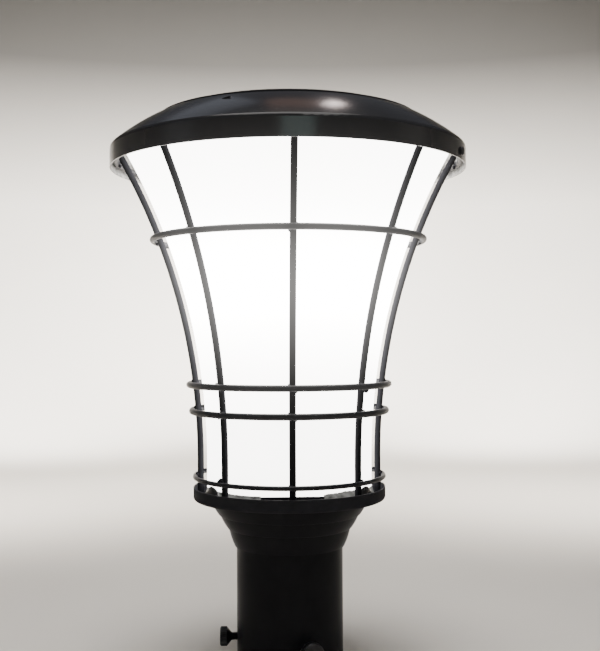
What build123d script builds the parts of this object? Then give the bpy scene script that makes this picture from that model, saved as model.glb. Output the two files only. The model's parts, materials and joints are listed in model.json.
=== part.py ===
from build123d import *
import os
from math import atan2, cos, degrees, radians, sqrt, tan

# Gate pillar light: a caged, trumpet-shaped lantern on a pole socket.
# Millimetres, +Z up. The origin is the centre of the socket tube's lower end, and the lantern
# stands on it. The front bar of the cage faces -Y.

# Fits
WELD_GAP = 0.05  # between pieces that are welded or clamped together
SEAT_GAP = 0.3  # between pieces that come apart
THREAD_GAP = 0.1  # screw in its hole, on the radius

# Socket tube, a length of steel pipe
TUBE_OD = 76.1
TUBE_WALL = 3.2
TUBE_LENGTH = 86.0
TUBE_CHAMFER = 0.6

# Thumb screws that clamp the pole
CLAMP_HEIGHT = 15.5
CLAMP_ANGLES = (180.0, 285.0, 50.0)  # from +X
CLAMP_THREAD_D = 6.0
CLAMP_HEAD_D = 13.6
CLAMP_HEAD_THICKNESS = 5.4
CLAMP_HUB_LENGTH = 2.4
CLAMP_STANDOFF = 4.2  # hub to tube wall, at rest
CLAMP_RECESS = 0.2  # tip behind the bore's wall, at rest
CLAMP_CHAMFER = 0.6

# Stepped cone, spun from sheet and lapped over the tube's top end
CONE_SHEET = 1.2
COLLAR_LAP = 5.5
COLLAR_LIP_HEIGHT = 1.5
COLLAR_LIP_FLARE = 0.7
TIER_HEIGHTS = (11.7, 9.8, 10.5)
TIER_FLARES = (4.2, 6.4, 6.4)  # how much each tier widens from its foot to its top
TIER_STEP = 0.9  # ledge between two tiers
TIER_BULGE = 0.35
TIER_EDGE_R = 0.3
CONE_FLANGE_GAP = 1.1  # flange turned in under the pan, to the nuts inside it

# Pan, pressed from sheet
PAN_R = 68.8
PAN_RIM = 9.0
PAN_SHEET = 1.0
PAN_BEND_R = 1.2  # inside the bend

# Cage of bars and hoops
BAR_COUNT = 8
BAR_D = 4.5
BAR_RIM_GAP = 1.9
BAR_SKIRT_GAP = 0.85  # bar ends to the inside of the cap's skirt
BAR_SEAT_ANGLE = 31.0  # slope under the cap's shoulder that the bar ends reach
FLARE_START = 27.5  # all cage heights are above the pan's floor
HOOP_WIRE_D = 4.5
FOOT_HOOP_WIRE_D = 3.3
FOOT_HOOP_HEIGHT = 15.5
LOWER_HOOP_HEIGHT = 62.3
MIDDLE_HOOP_HEIGHT = 81.1
UPPER_HOOP_HEIGHT = 184.0

# Opal diffuser, two shells that meet behind the lower hoop
DIFFUSER_WALL = 2.0
DIFFUSER_COVER = 10.5  # reach above the skirt's foot
SPACER_D = 2.0
SPACER_EVERY = 2  # bars from one spaced bar to the next
SPACER_HEIGHTS = (19.6, 65.3)

# Domed cap, pressed from sheet
CAP_R = 127.0
CAP_SHEET = 1.0
SKIRT_FOOT = 234.3  # above the pan's floor
SKIRT_HEIGHT = 13.9
SHOULDER_R = 3.4
FLANK_ANGLE = 32.0  # of the chord from shoulder to crown
FLANK_BULGE = 1.6  # of the flank's arc over its chord
CROWN_R = 88.0
CROWN_RISE = 11.5
CROWN_BEND_R = 60.0
CROWN_DISC_R = 45.0
CROWN_DISC_STEP = 0.7
CROWN_DISC_SLOPE = 1.5  # width of the sloping edge round the disc

# Screws that pinch the cap's skirt on the top hoop
PINCH_HEIGHT = 5.3  # above the skirt's foot, and the top hoop's height too
PINCH_ANGLES = (-25.0, 176.0)  # right and left, from +X
PINCH_THREAD_D = 3.0
PINCH_HEAD_D = 5.2
PINCH_HEAD_THICKNESS = 1.8

# Strap that bridges the pan and carries the lamp holder
STRAP_WIDTH = 42.0
STRAP_SHEET = 1.2
STRAP_BEND_R = 0.8  # inside the bend
STRAP_END_HEIGHT = 9.0
STRAP_BAR_GAP = 0.35  # turned-up end to the bar outside it
BRIDGE_HEIGHT = 34.0
BRIDGE_MARGIN = 1.0  # past the holder's flange

# Small screws, nuts and the cable's way in
SCREW_D = 4.0
SCREW_HEAD_D = 7.6
SCREW_HEAD_HEIGHT = 2.6
NUT_ACROSS_FLATS = 7.0
NUT_HEIGHT = 3.2
SCREW_TAIL = 1.2  # thread past the nut
CABLE_D = 8.0
GROMMET_WALL = 2.0
GROMMET_LIP = 2.5
GROMMET_LIP_HEIGHT = 2.0
GROMMET_EDGE_R = 0.6

# Lamp holder
HOLDER_WALL = 4.5  # at the mouth
HOLDER_TAPER = 1.5
HOLDER_FLANGE = 10.0
HOLDER_FLANGE_HEIGHT = 8.0
HOLDER_FLOOR = 17.5  # below the threaded shell's well
HOLDER_EDGE_R = 1.5
SHELL_WALL = 0.5
CONTACT_WIDTH = 7.0
CONTACT_SHEET = 0.6
CONTACT_LENGTH = 18.0
CONTACT_RISE = 2.6

# Lamp
LAMP_BASE_D = 26.4
LAMP_BASE_LENGTH = 24.0
LAMP_TIP_R = 4.5
LAMP_TIP_HEIGHT = 2.6
LAMP_BASE_TAPER = 5.0
LAMP_NECK_GAP = 2.0  # holder's mouth to the lamp's housing
LAMP_NECK_R = 15.0
LAMP_NECK_HEIGHT = 5.0
LAMP_HOUSING_HEIGHT = 49.5
LAMP_SHOULDER_R = 31.5
LAMP_HOUSING_BULGE = 3.0
GLOBE_HEIGHT = 42.0
GLOBE_WALL = 1.2
LED_PLATE_SHEET = 1.6
LED_COUNT = 10
LED_RING_MARGIN = 9.7  # ring of LEDs inside the plate's edge
LED_SIZE = 3.5
LED_HEIGHT = 0.8

# Heights and radii that follow from these
bore_r = TUBE_OD / 2 - TUBE_WALL
collar_inner_r = TUBE_OD / 2 + WELD_GAP
cone_foot_z = TUBE_LENGTH - COLLAR_LAP
first_tier_z = cone_foot_z + COLLAR_LIP_HEIGHT
first_tier_r = collar_inner_r + CONE_SHEET + COLLAR_LIP_FLARE
cone_top_z = first_tier_z + sum(TIER_HEIGHTS)
cone_top_r = first_tier_r + sum(TIER_FLARES)
pan_floor_z = cone_top_z + PAN_SHEET
skirt_foot_z = pan_floor_z + SKIRT_FOOT
shoulder_z = skirt_foot_z + SKIRT_HEIGHT
top_hoop_z = skirt_foot_z + PINCH_HEIGHT

# The bars stand inside the pan's rim, and bend on one arc to end under the cap's flank
seat = radians(BAR_SEAT_ANGLE)
bar_circle_r = PAN_R - PAN_SHEET - BAR_RIM_GAP - BAR_D / 2
bar_end_r = CAP_R - CAP_SHEET - BAR_SKIRT_GAP - BAR_D / 2
bar_end_z = shoulder_z + (CAP_R - bar_end_r) * tan(seat) - (CAP_SHEET + SEAT_GAP) / cos(seat)
flare_z = pan_floor_z + FLARE_START
flare_out = bar_end_r - bar_circle_r
flare_up = bar_end_z - flare_z
flare_radius = (flare_out**2 + flare_up**2) / (2 * flare_out)
bar_bend = 2 * degrees(atan2(flare_out, flare_up))

# The strap's turned-up ends stand between the diffuser's foot and the bars
diffuser_offset = BAR_D / 2 + STRAP_BAR_GAP + STRAP_SHEET + STRAP_BEND_R + WELD_GAP
diffuser_foot_z = pan_floor_z + STRAP_SHEET + WELD_GAP
diffuser_joint_z = pan_floor_z + LOWER_HOOP_HEIGHT
diffuser_top_z = skirt_foot_z + DIFFUSER_COVER
diffuser_foot_inner_r = bar_circle_r - diffuser_offset - DIFFUSER_WALL
bridge_z = pan_floor_z + BRIDGE_HEIGHT

# The holder's well is as deep as the lamp's base needs
cable_way_r = CABLE_D / 2 + GROMMET_WALL
screw_hole_r = SCREW_D / 2 + THREAD_GAP
shell_inner_r = LAMP_BASE_D / 2 + SEAT_GAP
shell_outer_r = shell_inner_r + SHELL_WALL
holder_well_r = shell_outer_r + WELD_GAP
holder_mouth_r = holder_well_r + HOLDER_WALL
holder_body_r = holder_mouth_r + HOLDER_TAPER
holder_flange_r = holder_body_r + HOLDER_FLANGE
holder_screw_pitch = holder_body_r + holder_flange_r
bridge_half = holder_flange_r + BRIDGE_MARGIN
strap_screw_pitch = bridge_half + diffuser_foot_inner_r
nut_corner_r = NUT_ACROSS_FLATS / 2 / cos(radians(30))
cone_flange_r = strap_screw_pitch / 2 + nut_corner_r + CONE_FLANGE_GAP
shell_foot_z = bridge_z + HOLDER_FLOOR
contact_top_z = shell_foot_z + CONTACT_RISE
lamp_tip_z = contact_top_z + SEAT_GAP
lamp_base_z = lamp_tip_z + LAMP_TIP_HEIGHT
lamp_housing_z = lamp_base_z + LAMP_BASE_LENGTH
holder_top_z = lamp_housing_z - LAMP_NECK_GAP
globe_foot_z = lamp_housing_z + LAMP_HOUSING_HEIGHT
globe_r = (LAMP_SHOULDER_R**2 + GLOBE_HEIGHT**2) / (2 * GLOBE_HEIGHT)
globe_centre_z = globe_foot_z + GLOBE_HEIGHT - globe_r

os.makedirs("parts", exist_ok=True)


def flare(height, outward):
    """Radius, at a height, of the surface that runs a set distance outward of the bars' centre line."""
    rise = max(height - flare_z, 0)
    return bar_circle_r + flare_radius - sqrt((flare_radius - outward) ** 2 - rise**2)


def spoke_plane(angle, height):
    """Upright plane through the lantern's axis: local X runs outward, local Y runs up."""
    spoke = Vector(1, 0, 0).rotate(Axis.Z, angle)
    return Plane(origin=(0, 0, height), x_dir=spoke, z_dir=spoke.cross(Vector(0, 0, 1)))


def turned_on_spoke(angle, height, outline):
    """Piece turned about a spoke, from points of distance from the lantern's axis and radius."""
    spoke = spoke_plane(angle, height)
    with BuildPart() as turned:
        with BuildSketch(spoke):
            with BuildLine():
                Polyline(*outline, close=True)
            make_face()
        revolve(axis=Axis(spoke.origin, spoke.x_dir))
    return turned.part


def bored_on_spoke(angle, height, radius, depth):
    """Drill for a hole along a spoke, from the lantern's axis outward."""
    spoke = spoke_plane(angle, height)
    with BuildPart(mode=Mode.PRIVATE) as drill:
        with BuildSketch(Plane(origin=spoke.origin, z_dir=spoke.x_dir)):
            Circle(radius)
        extrude(amount=depth)
    return drill.part


# Socket tube, with threaded holes for the thumb screws
clamp_hole_r = CLAMP_THREAD_D / 2 + THREAD_GAP
clamp_drills = [bored_on_spoke(angle, CLAMP_HEIGHT, clamp_hole_r, TUBE_OD) for angle in CLAMP_ANGLES]
with BuildPart() as tube:
    with BuildSketch():
        Circle(TUBE_OD / 2)
        Circle(bore_r, mode=Mode.SUBTRACT)
    extrude(amount=TUBE_LENGTH)
    outer_ends = tube.edges().filter_by(GeomType.CIRCLE).group_by(SortBy.RADIUS)[-1]
    chamfer(outer_ends, TUBE_CHAMFER)
    add(clamp_drills, mode=Mode.SUBTRACT)
tube.part.label = "socket_tube"
export_step(tube.part, "parts/socket_tube.step")

# Thumb screws, each turned with a coned hub behind its round head
clamp_tip = bore_r + CLAMP_RECESS
clamp_hub = TUBE_OD / 2 + CLAMP_STANDOFF
clamp_head = clamp_hub + CLAMP_HUB_LENGTH
clamp_end = clamp_head + CLAMP_HEAD_THICKNESS
clamp_outline = [
    (clamp_tip, 0),
    (clamp_tip, CLAMP_THREAD_D / 2 - CLAMP_CHAMFER),
    (clamp_tip + CLAMP_CHAMFER, CLAMP_THREAD_D / 2),
    (clamp_hub, CLAMP_THREAD_D / 2),
    (clamp_head, CLAMP_HEAD_D / 2 - CLAMP_CHAMFER),
    (clamp_head + CLAMP_CHAMFER, CLAMP_HEAD_D / 2),
    (clamp_end - CLAMP_CHAMFER, CLAMP_HEAD_D / 2),
    (clamp_end, CLAMP_HEAD_D / 2 - CLAMP_CHAMFER),
    (clamp_end, 0),
]
for number, angle in enumerate(CLAMP_ANGLES, start=1):
    thumb_screw = turned_on_spoke(angle, CLAMP_HEIGHT, clamp_outline)
    thumb_screw.label = f"thumb_screw_{number}"
    export_step(thumb_screw, f"parts/thumb_screw_{number}.step")

# Stepped cone: three bulged tiers with a ledge under each, and a flange turned in under the pan
tier_feet = []
tier_z = first_tier_z
tier_r = first_tier_r
for tier_height, tier_flare in zip(TIER_HEIGHTS, TIER_FLARES):
    tier_feet.append((tier_r, tier_z))
    tier_r += tier_flare
    tier_z += tier_height
with BuildPart() as cone:
    with BuildSketch(Plane.XZ):
        with BuildLine():
            Polyline(
                (collar_inner_r, first_tier_z),
                (collar_inner_r, cone_foot_z),
                (collar_inner_r + CONE_SHEET, cone_foot_z),
                tier_feet[0],
            )
            for foot, top in zip(tier_feet, tier_feet[1:]):
                ledge = Line((top[0] - TIER_STEP / 2, top[1]), (top[0] + TIER_STEP / 2, top[1]))
                start = foot if foot is tier_feet[0] else (foot[0] + TIER_STEP / 2, foot[1])
                SagittaArc(start, ledge @ 0, -TIER_BULGE)
            last_foot = (tier_feet[-1][0] + TIER_STEP / 2, tier_feet[-1][1])
            SagittaArc(last_foot, (cone_top_r, cone_top_z), -TIER_BULGE)
            Polyline(
                (cone_top_r, cone_top_z),
                (cone_flange_r, cone_top_z),
                (cone_flange_r, cone_top_z - CONE_SHEET),
                (cone_top_r - 2 * CONE_SHEET, cone_top_z - CONE_SHEET),
                *[(radius - TIER_STEP / 2 - CONE_SHEET, height) for radius, height in tier_feet[:0:-1]],
                (collar_inner_r, first_tier_z),
            )
        make_face()
    revolve(axis=Axis.Z)
    for radius, height in tier_feet[1:]:
        level_rims = cone.edges().filter_by(GeomType.CIRCLE).filter_by_position(Axis.Z, height, height)
        fillet(level_rims.sort_by(SortBy.RADIUS)[-1], TIER_EDGE_R)
cone.part.label = "stepped_cone"
export_step(cone.part, "parts/stepped_cone.step")

# Pan: a sheet tray with an upright rim, holes for the strap's screws and the cable's grommet
with BuildPart() as pan:
    with BuildSketch(Plane.XZ):
        with BuildLine():
            FilletPolyline(
                (cable_way_r + WELD_GAP, cone_top_z + PAN_SHEET / 2),
                (PAN_R - PAN_SHEET / 2, cone_top_z + PAN_SHEET / 2),
                (PAN_R - PAN_SHEET / 2, cone_top_z + PAN_RIM),
                radius=PAN_BEND_R + PAN_SHEET / 2,
            )
        trace(line_width=PAN_SHEET)
    revolve(axis=Axis.Z)
    with BuildSketch(Plane.XY.offset(cone_top_z)):
        with GridLocations(0, strap_screw_pitch, 1, 2):
            Circle(screw_hole_r)
    extrude(amount=PAN_SHEET, mode=Mode.SUBTRACT)
pan.part.label = "base_pan"
export_step(pan.part, "parts/base_pan.step")

# Grommet in the pan's floor, where the cable comes up from the pole
with BuildPart() as grommet:
    with BuildSketch(Plane.XZ):
        with BuildLine():
            Polyline(
                (CABLE_D / 2, cone_top_z - GROMMET_LIP_HEIGHT),
                (cable_way_r + GROMMET_LIP, cone_top_z - GROMMET_LIP_HEIGHT),
                (cable_way_r + GROMMET_LIP, cone_top_z - WELD_GAP),
                (cable_way_r, cone_top_z - WELD_GAP),
                (cable_way_r, pan_floor_z + WELD_GAP),
                (cable_way_r + GROMMET_LIP, pan_floor_z + WELD_GAP),
                (cable_way_r + GROMMET_LIP, pan_floor_z + GROMMET_LIP_HEIGHT),
                (CABLE_D / 2, pan_floor_z + GROMMET_LIP_HEIGHT),
                close=True,
            )
        make_face()
    revolve(axis=Axis.Z)
    rims = grommet.edges().filter_by(GeomType.CIRCLE).group_by(Axis.Z)
    fillet(rims[0] + rims[-1], GROMMET_EDGE_R)
grommet.part.label = "cable_grommet"
export_step(grommet.part, "parts/cable_grommet.step")

# Cage bars: upright from the pan's floor, then one large bend outward to the cap's flank.
# The cap rests on the bar ends.
for number in range(1, BAR_COUNT + 1):
    bar_plane = spoke_plane(-90 + 360 / BAR_COUNT * (number - 1), 0)
    with BuildPart() as bar:
        with BuildLine(bar_plane):
            upright = Line((bar_circle_r, pan_floor_z + WELD_GAP), (bar_circle_r, flare_z))
            JernArc(upright @ 1, upright % 1, flare_radius, -bar_bend)
        with BuildSketch(Plane(origin=upright @ 0, z_dir=upright % 0)):
            Circle(BAR_D / 2)
        sweep()
    bar.part.label = f"cage_bar_{number}"
    export_step(bar.part, f"parts/cage_bar_{number}.step")

# Hoops of round wire, welded to the outside of the bars
hoops = {
    "hoop_foot": (pan_floor_z + FOOT_HOOP_HEIGHT, FOOT_HOOP_WIRE_D),
    "hoop_lower": (pan_floor_z + LOWER_HOOP_HEIGHT, HOOP_WIRE_D),
    "hoop_middle": (pan_floor_z + MIDDLE_HOOP_HEIGHT, HOOP_WIRE_D),
    "hoop_upper": (pan_floor_z + UPPER_HOOP_HEIGHT, HOOP_WIRE_D),
    "hoop_top": (top_hoop_z, HOOP_WIRE_D),
}
for name, (hoop_z, wire_d) in hoops.items():
    hoop_r = flare(hoop_z, BAR_D / 2 + WELD_GAP + wire_d / 2)
    with BuildPart() as hoop:
        with BuildSketch(Plane.XZ):
            with Locations((hoop_r, hoop_z)):
                Circle(wire_d / 2)
        revolve(axis=Axis.Z)
    hoop.part.label = name
    export_step(hoop.part, f"parts/{name}.step")
top_hoop_outer_r = flare(top_hoop_z, BAR_D / 2 + WELD_GAP + HOOP_WIRE_D / 2) + HOOP_WIRE_D / 2


def diffuser_shell(foot_z, top_z):
    """Opal shell that follows the inside of the bars between two heights."""
    bend_z = max(foot_z, flare_z)
    middle_z = (bend_z + top_z) / 2
    outside = -diffuser_offset
    inside = outside - DIFFUSER_WALL
    with BuildPart() as shell:
        with BuildSketch(Plane.XZ):
            with BuildLine():
                for face in (outside, inside):
                    if foot_z < flare_z:
                        Line((flare(foot_z, face), foot_z), (flare(bend_z, face), bend_z))
                    ThreePointArc(
                        (flare(bend_z, face), bend_z),
                        (flare(middle_z, face), middle_z),
                        (flare(top_z, face), top_z),
                    )
                for end_z in (foot_z, top_z):
                    Line((flare(end_z, outside), end_z), (flare(end_z, inside), end_z))
            make_face()
        revolve(axis=Axis.Z)
    return shell.part


diffuser_lower = diffuser_shell(diffuser_foot_z, diffuser_joint_z - WELD_GAP)
diffuser_lower.label = "diffuser_lower"
export_step(diffuser_lower, "parts/diffuser_lower.step")
diffuser_upper = diffuser_shell(diffuser_joint_z, diffuser_top_z)
diffuser_upper.label = "diffuser_upper"
export_step(diffuser_upper, "parts/diffuser_upper.step")

# Spacer pins on the insides of every second bar, which centre the diffuser
with BuildPart() as spacers:
    for step in range(0, BAR_COUNT, SPACER_EVERY):
        for height in SPACER_HEIGHTS:
            spacer_z = pan_floor_z + height
            spacer_foot = flare(spacer_z + SPACER_D / 2, -diffuser_offset) + WELD_GAP
            spacer_end = flare(spacer_z - SPACER_D / 2, -BAR_D / 2) - WELD_GAP
            outward = spoke_plane(-90 + 360 / BAR_COUNT * step, spacer_z)
            with BuildSketch(Plane(origin=outward.x_dir * spacer_foot + outward.origin, z_dir=outward.x_dir)):
                Circle(SPACER_D / 2)
            extrude(amount=spacer_end - spacer_foot)
spacers.part.label = "diffuser_spacers"
export_step(spacers.part, "parts/diffuser_spacers.step")

# Cap: skirt, flank and crown as one pressing, with a low disc pressed up in the crown
crown_z = shoulder_z + (CAP_R - CROWN_R) * tan(radians(FLANK_ANGLE))
crown_arc_r = (CROWN_R**2 + CROWN_RISE**2) / (2 * CROWN_RISE)
crown_centre_z = crown_z + CROWN_RISE - crown_arc_r
disc_foot_r = CROWN_DISC_R + CROWN_DISC_SLOPE


def crown_point(radius, raised):
    """Point of the crown's arc at a radius, raised by the disc's step or not."""
    return (radius, crown_centre_z + raised + sqrt(crown_arc_r**2 - radius**2))


pinch_hole_r = PINCH_THREAD_D / 2 + THREAD_GAP
pinch_drills = [bored_on_spoke(angle, top_hoop_z, pinch_hole_r, CAP_R + CAP_SHEET) for angle in PINCH_ANGLES]
with BuildPart() as cap:
    with BuildSketch(Plane.XZ):
        with BuildLine() as cap_section:
            Line((CAP_R, skirt_foot_z), (CAP_R, shoulder_z))
            SagittaArc((CAP_R, shoulder_z), (CROWN_R, crown_z), -FLANK_BULGE)
            middle_r = (CROWN_R + disc_foot_r) / 2
            ThreePointArc((CROWN_R, crown_z), crown_point(middle_r, 0), crown_point(disc_foot_r, 0))
            Line(crown_point(disc_foot_r, 0), crown_point(CROWN_DISC_R, CROWN_DISC_STEP))
            ThreePointArc(
                crown_point(CROWN_DISC_R, CROWN_DISC_STEP),
                crown_point(CROWN_DISC_R / 2, CROWN_DISC_STEP),
                crown_point(0, CROWN_DISC_STEP),
            )
            corners = cap_section.vertices()
            fillet(corners.sort_by_distance((CAP_R, shoulder_z))[0], SHOULDER_R)
            corners = cap_section.vertices()
            fillet(corners.sort_by_distance((CROWN_R, crown_z))[0], CROWN_BEND_R)
            offset(amount=CAP_SHEET, side=Side.LEFT)
        make_face()
    revolve(axis=Axis.Z)
    add(pinch_drills, mode=Mode.SUBTRACT)
cap.part.label = "cap"
export_step(cap.part, "parts/cap.step")

# Pinch screws, turned, with a low rounded head outside the skirt
pinch_tip = top_hoop_outer_r + SEAT_GAP
pinch_head = CAP_R + SEAT_GAP
pinch_end = pinch_head + PINCH_HEAD_THICKNESS
pinch_outline = [
    (pinch_tip, 0),
    (pinch_tip, PINCH_THREAD_D / 2),
    (pinch_head, PINCH_THREAD_D / 2),
    (pinch_head, PINCH_HEAD_D / 2),
    (pinch_end - PINCH_HEAD_THICKNESS / 2, PINCH_HEAD_D / 2),
    (pinch_end, PINCH_HEAD_D / 2 - PINCH_HEAD_THICKNESS / 2),
    (pinch_end, 0),
]
for name, angle in zip(("cap_screw_right", "cap_screw_left"), PINCH_ANGLES):
    cap_screw = turned_on_spoke(angle, top_hoop_z, pinch_outline)
    cap_screw.label = name
    export_step(cap_screw, f"parts/{name}.step")

# Strap: one bent bar from front to back. Its ends turn up outside the diffuser's foot, and its
# middle is raised into a bridge for the lamp holder.
strap_end_y = bar_circle_r - BAR_D / 2 - STRAP_BAR_GAP - STRAP_SHEET / 2
strap_floor = pan_floor_z + STRAP_SHEET / 2
bridge_leg_y = bridge_half - STRAP_SHEET / 2
bridge_middle = bridge_z - STRAP_SHEET / 2
with BuildPart() as strap:
    with BuildSketch(Plane.YZ):
        with BuildLine():
            FilletPolyline(
                (-strap_end_y, pan_floor_z + STRAP_END_HEIGHT),
                (-strap_end_y, strap_floor),
                (-bridge_leg_y, strap_floor),
                (-bridge_leg_y, bridge_middle),
                (bridge_leg_y, bridge_middle),
                (bridge_leg_y, strap_floor),
                (strap_end_y, strap_floor),
                (strap_end_y, pan_floor_z + STRAP_END_HEIGHT),
                radius=STRAP_BEND_R + STRAP_SHEET / 2,
            )
        trace(line_width=STRAP_SHEET)
    extrude(amount=STRAP_WIDTH / 2, both=True)
    with BuildSketch(Plane.XY.offset(pan_floor_z)):
        with GridLocations(0, strap_screw_pitch, 1, 2):
            Circle(screw_hole_r)
    extrude(amount=STRAP_SHEET, mode=Mode.SUBTRACT)
    with BuildSketch(Plane.XY.offset(bridge_z)):
        Circle(cable_way_r)
        with GridLocations(0, holder_screw_pitch, 1, 2):
            Circle(screw_hole_r)
    extrude(amount=-STRAP_SHEET, mode=Mode.SUBTRACT)
strap.part.label = "holder_strap"
export_step(strap.part, "parts/holder_strap.step")


def screw_pair(pitch, seat_z, grip):
    """Two round-headed screws, front and back, whose heads sit at one height."""
    with BuildPart() as screws:
        with BuildSketch(Plane.XY.offset(seat_z + WELD_GAP)):
            with GridLocations(0, pitch, 1, 2):
                Circle(SCREW_HEAD_D / 2)
        extrude(amount=SCREW_HEAD_HEIGHT)
        top_rims = screws.edges().group_by(Axis.Z)[-1]
        fillet(top_rims, SCREW_HEAD_HEIGHT / 2)
        with BuildSketch(Plane.XY.offset(seat_z + WELD_GAP)):
            with GridLocations(0, pitch, 1, 2):
                Circle(SCREW_D / 2)
        extrude(amount=-(grip + NUT_HEIGHT + SCREW_TAIL))
    return screws.part


def nut_pair(pitch, seat_z):
    """Two hexagon nuts, front and back, drawn up against a face from below."""
    with BuildPart() as nuts:
        with BuildSketch(Plane.XY.offset(seat_z - WELD_GAP)):
            with GridLocations(0, pitch, 1, 2):
                RegularPolygon(NUT_ACROSS_FLATS / 2, 6, major_radius=False)
                Circle(SCREW_D / 2 + WELD_GAP, mode=Mode.SUBTRACT)
        extrude(amount=-NUT_HEIGHT)
    return nuts.part


strap_screws = screw_pair(strap_screw_pitch, pan_floor_z + STRAP_SHEET, STRAP_SHEET + PAN_SHEET)
strap_screws.label = "strap_screws"
export_step(strap_screws, "parts/strap_screws.step")
strap_nuts = nut_pair(strap_screw_pitch, cone_top_z)
strap_nuts.label = "strap_nuts"
export_step(strap_nuts, "parts/strap_nuts.step")

# Lamp holder: flanged porcelain body with a well for the threaded shell and its contact
with BuildPart() as holder:
    with BuildSketch(Plane.XZ):
        with BuildLine():
            Polyline(
                (cable_way_r, bridge_z),
                (holder_flange_r, bridge_z),
                (holder_flange_r, bridge_z + HOLDER_FLANGE_HEIGHT),
                (holder_body_r, bridge_z + HOLDER_FLANGE_HEIGHT),
                (holder_mouth_r, holder_top_z),
                (holder_well_r, holder_top_z),
                (holder_well_r, shell_foot_z),
                (cable_way_r, shell_foot_z),
                close=True,
            )
        make_face()
    revolve(axis=Axis.Z)
    rims = holder.edges().filter_by(GeomType.CIRCLE)
    flange_rim = rims.group_by(SortBy.RADIUS)[-1].sort_by(Axis.Z)[-1]
    mouth_rim = rims.group_by(Axis.Z)[-1].sort_by(SortBy.RADIUS)[-1]
    fillet([flange_rim, mouth_rim], HOLDER_EDGE_R)
    with BuildSketch(Plane.XY.offset(bridge_z)):
        with GridLocations(0, holder_screw_pitch, 1, 2):
            Circle(screw_hole_r)
    extrude(amount=HOLDER_FLANGE_HEIGHT, mode=Mode.SUBTRACT)
holder.part.label = "holder_body"
export_step(holder.part, "parts/holder_body.step")

holder_grip = HOLDER_FLANGE_HEIGHT + STRAP_SHEET
holder_screws = screw_pair(holder_screw_pitch, bridge_z + HOLDER_FLANGE_HEIGHT, holder_grip)
holder_screws.label = "holder_screws"
export_step(holder_screws, "parts/holder_screws.step")
holder_nuts = nut_pair(holder_screw_pitch, bridge_z - STRAP_SHEET)
holder_nuts.label = "holder_nuts"
export_step(holder_nuts, "parts/holder_nuts.step")

# Threaded shell of the holder, as a plain sleeve
with BuildPart() as shell:
    with BuildSketch(Plane.XY.offset(shell_foot_z + WELD_GAP)):
        Circle(shell_outer_r)
        Circle(shell_inner_r, mode=Mode.SUBTRACT)
    extrude(amount=holder_top_z - shell_foot_z - 2 * WELD_GAP)
shell.part.label = "holder_shell"
export_step(shell.part, "parts/holder_shell.step")

# Centre contact of the holder, a sprung strip that bows up under the lamp's tip
with BuildPart() as contact:
    with BuildSketch(Plane.XZ):
        with BuildLine():
            contact_z = shell_foot_z + WELD_GAP + CONTACT_SHEET / 2
            ThreePointArc(
                (-CONTACT_LENGTH / 2, contact_z),
                (0, contact_top_z - CONTACT_SHEET / 2),
                (CONTACT_LENGTH / 2, contact_z),
            )
        trace(line_width=CONTACT_SHEET)
    extrude(amount=CONTACT_WIDTH / 2, both=True)
contact.part.label = "holder_contact"
export_step(contact.part, "parts/holder_contact.step")

# Lamp: tip, screw base, housing, LED plate and opal globe
with BuildPart() as lamp_tip:
    with BuildSketch(Plane.XY.offset(lamp_tip_z)):
        Circle(LAMP_TIP_R)
    extrude(amount=LAMP_TIP_HEIGHT)
    fillet(lamp_tip.edges().group_by(Axis.Z)[0], LAMP_TIP_HEIGHT / 2)
lamp_tip.part.label = "lamp_tip"
export_step(lamp_tip.part, "parts/lamp_tip.step")

with BuildPart() as lamp_base:
    with BuildSketch(Plane.XZ):
        with BuildLine():
            Polyline(
                (0, lamp_base_z),
                (LAMP_TIP_R + LAMP_BASE_TAPER / 2, lamp_base_z),
                (LAMP_BASE_D / 2, lamp_base_z + LAMP_BASE_TAPER),
                (LAMP_BASE_D / 2, lamp_housing_z),
                (0, lamp_housing_z),
                close=True,
            )
        make_face()
    revolve(axis=Axis.Z)
lamp_base.part.label = "lamp_base"
export_step(lamp_base.part, "parts/lamp_base.step")

with BuildPart() as lamp_housing:
    with BuildSketch(Plane.XZ):
        with BuildLine():
            neck = Polyline(
                (0, lamp_housing_z),
                (LAMP_NECK_R, lamp_housing_z),
                (LAMP_NECK_R, lamp_housing_z + LAMP_NECK_HEIGHT),
            )
            flank_arc = SagittaArc(neck @ 1, (LAMP_SHOULDER_R, globe_foot_z), -LAMP_HOUSING_BULGE)
            Polyline(flank_arc @ 1, (0, globe_foot_z), neck @ 0)
        make_face()
    revolve(axis=Axis.Z)
lamp_housing.part.label = "lamp_housing"
export_step(lamp_housing.part, "parts/lamp_housing.step")

led_plate_r = LAMP_SHOULDER_R - 2 * GLOBE_WALL
with BuildPart() as led_plate:
    with BuildSketch(Plane.XY.offset(globe_foot_z)):
        Circle(led_plate_r)
    extrude(amount=LED_PLATE_SHEET)
    with BuildSketch(Plane.XY.offset(globe_foot_z + LED_PLATE_SHEET)):
        with PolarLocations(led_plate_r - LED_RING_MARGIN, LED_COUNT):
            Rectangle(LED_SIZE, LED_SIZE)
    extrude(amount=LED_HEIGHT)
led_plate.part.label = "lamp_led_plate"
export_step(led_plate.part, "parts/lamp_led_plate.step")

with BuildPart() as globe:
    with Locations((0, 0, globe_centre_z)):
        Sphere(globe_r)
        Sphere(globe_r - GLOBE_WALL, mode=Mode.SUBTRACT)
    split(bisect_by=Plane.XY.offset(globe_foot_z), keep=Keep.TOP)
globe.part.label = "lamp_globe"
export_step(globe.part, "parts/lamp_globe.step")
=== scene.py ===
"""Looks of the gate pillar light: enamel, welds, opal sheet, screws and lamp, on a plain stage."""

import json
import math
import random

import bmesh
import bpy
from bpy.props import FloatProperty, FloatVectorProperty, IntProperty, PointerProperty
from mathutils import Matrix, Vector, noise
from mathutils.bvhtree import BVHTree


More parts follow.
